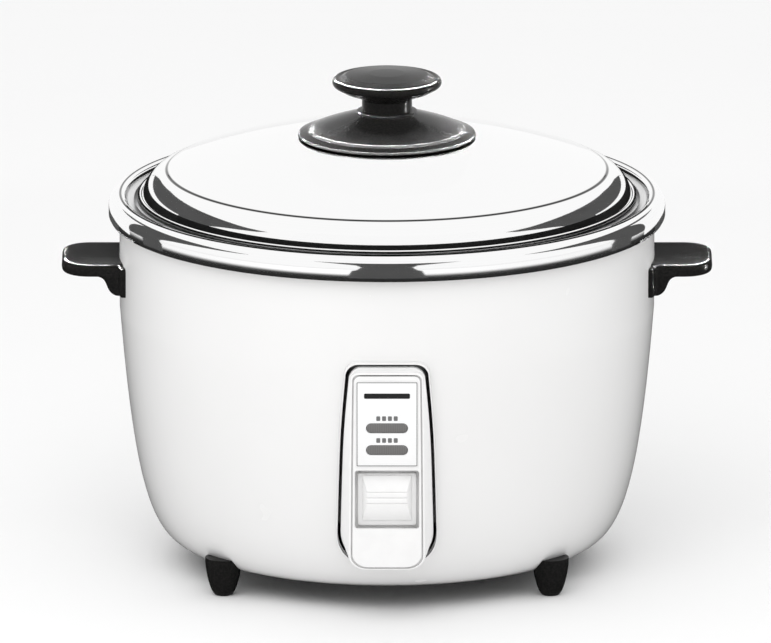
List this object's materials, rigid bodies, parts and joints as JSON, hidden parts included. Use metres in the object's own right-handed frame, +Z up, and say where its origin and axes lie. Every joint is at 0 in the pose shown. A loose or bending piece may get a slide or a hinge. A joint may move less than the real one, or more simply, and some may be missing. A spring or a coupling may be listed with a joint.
{
  "type": "rice cooker",
  "caption": "Large round electric rice cooker with a painted tapered body, polished rim, lift-out pan, domed lift-off lid, black knob, handles and feet, and a front switch key.",
  "frame": {"origin": "centre of the footprint, on the surface that the feet stand on", "axes": "+Z up, front of the cooker towards -Y, handles along X"},
  "size_m": [0.44, 0.3766, 0.3376],
  "materials": {
    "white_enamel": "glossy baked enamel",
    "polished_steel": "mirror-polished, spun",
    "pan_aluminium": "satin, spun",
    "galvanised_steel": "dull galvanised sheet",
    "cast_aluminium": "cast, turned face",
    "black_phenolic": "glossy moulded",
    "white_plastic": "satin moulded",
    "label_aluminium": "brushed and lacquered",
    "cook_lens": "translucent",
    "warm_lens": "translucent",
    "lamp_glass": "clear",
    "dark_plastic": "moulded",
    "spring_steel": "drawn wire",
    "zinc_steel": "zinc plated",
    "ferrite": "sintered",
    "brass": "machined",
    "silicone": "matt"
  },
  "bodies": {
    "housing": {"body_shell": "white_enamel", "top_ring": "polished_steel", "inner_liner": "galvanised_steel", "bottom_cover": "galvanised_steel", "handle_left": "black_phenolic", "handle_right": "black_phenolic", "heater_plate": "cast_aluminium", "heater_support_ring": "galvanised_steel", "heater_element": "galvanised_steel", "thermostat_holder": "galvanised_steel", "lever_bracket": "galvanised_steel", "lever_pivot_pin": "zinc_steel", "lever_spring": "spring_steel", "microswitch": "dark_plastic", "terminal_block": "white_plastic", "thermal_fuse": "silicone", "keep_warm_thermostat": "dark_plastic", "power_inlet": "dark_plastic", "panel_bezel": "white_plastic", "label_plate": "label_aluminium", "cook_lens": "cook_lens", "warm_lens": "warm_lens", "cook_lamp": "lamp_glass", "warm_lamp": "lamp_glass", "lamp_holder": "dark_plastic", "panel_screw_1": "zinc_steel", "panel_screw_2": "zinc_steel", "inlet_pin_1": "brass", "inlet_pin_2": "brass", "inlet_pin_3": "brass", "cover_screw_1": "zinc_steel", "cover_screw_2": "zinc_steel", "cover_screw_3": "zinc_steel", "foot_left_front": "black_phenolic", "foot_left_rear": "black_phenolic", "foot_right_front": "black_phenolic", "foot_right_rear": "black_phenolic", "foot_screw_left_front": "zinc_steel", "foot_screw_left_rear": "zinc_steel", "foot_screw_right_front": "zinc_steel", "foot_screw_right_rear": "zinc_steel", "handle_screw_left_front": "zinc_steel", "handle_screw_left_rear": "zinc_steel", "handle_screw_right_front": "zinc_steel", "handle_screw_right_rear": "zinc_steel"},
    "sensor": {"sensor_cap": "pan_aluminium", "sensor_ferrite": "ferrite", "sensor_spring": "spring_steel", "magnet_spring": "spring_steel"},
    "magnet_carrier": {"magnet": "ferrite", "magnet_rod": "brass"},
    "lever": {"switch_key": "white_plastic", "switch_lever": "zinc_steel"},
    "plunger": {"microswitch_plunger": "white_plastic"},
    "pan": {"pan": "pan_aluminium"},
    "lid": {"lid": "polished_steel", "knob_base": "black_phenolic", "knob": "black_phenolic", "knob_screw": "zinc_steel", "knob_washer": "silicone"}
  },
  "joints": [
    {"name": "pan_lift", "type": "slide", "parent": "housing", "child": "pan", "axis": [0, 0, 1], "range_m": [0, 0.3]},
    {"name": "lid_lift", "type": "slide", "parent": "pan", "child": "lid", "axis": [0, 0, 1], "range_m": [0, 0.25]},
    {"name": "switch_lever_turn", "type": "hinge", "parent": "housing", "child": "lever", "pos_m": [0, -0.105, 0.052], "axis": [1, 0, 0], "range_deg": [0, 3], "deforming": ["lever_spring"]},
    {"name": "plunger_press", "type": "slide", "parent": "housing", "child": "plunger", "axis": [0, 0, 1], "range_m": [0, 0.0019]},
    {"name": "sensor_press", "type": "slide", "parent": "housing", "child": "sensor", "axis": [0, 0, 1], "range_m": [-0.0015, 0], "stiffness_N_per_m": 300, "springref_m": 0.006, "deforming": ["sensor_spring"]},
    {"name": "magnet_lift", "type": "slide", "parent": "sensor", "child": "magnet_carrier", "axis": [0, 0, 1], "range_m": [0, 0.0056], "deforming": ["magnet_spring"]}
  ],
  "couplings": [
    {"joint": "magnet_lift", "follows": "switch_lever_turn", "m_per_rad": 0.105},
    {"joint": "plunger_press", "follows": "switch_lever_turn", "m_per_rad": 0.035}
  ]
}
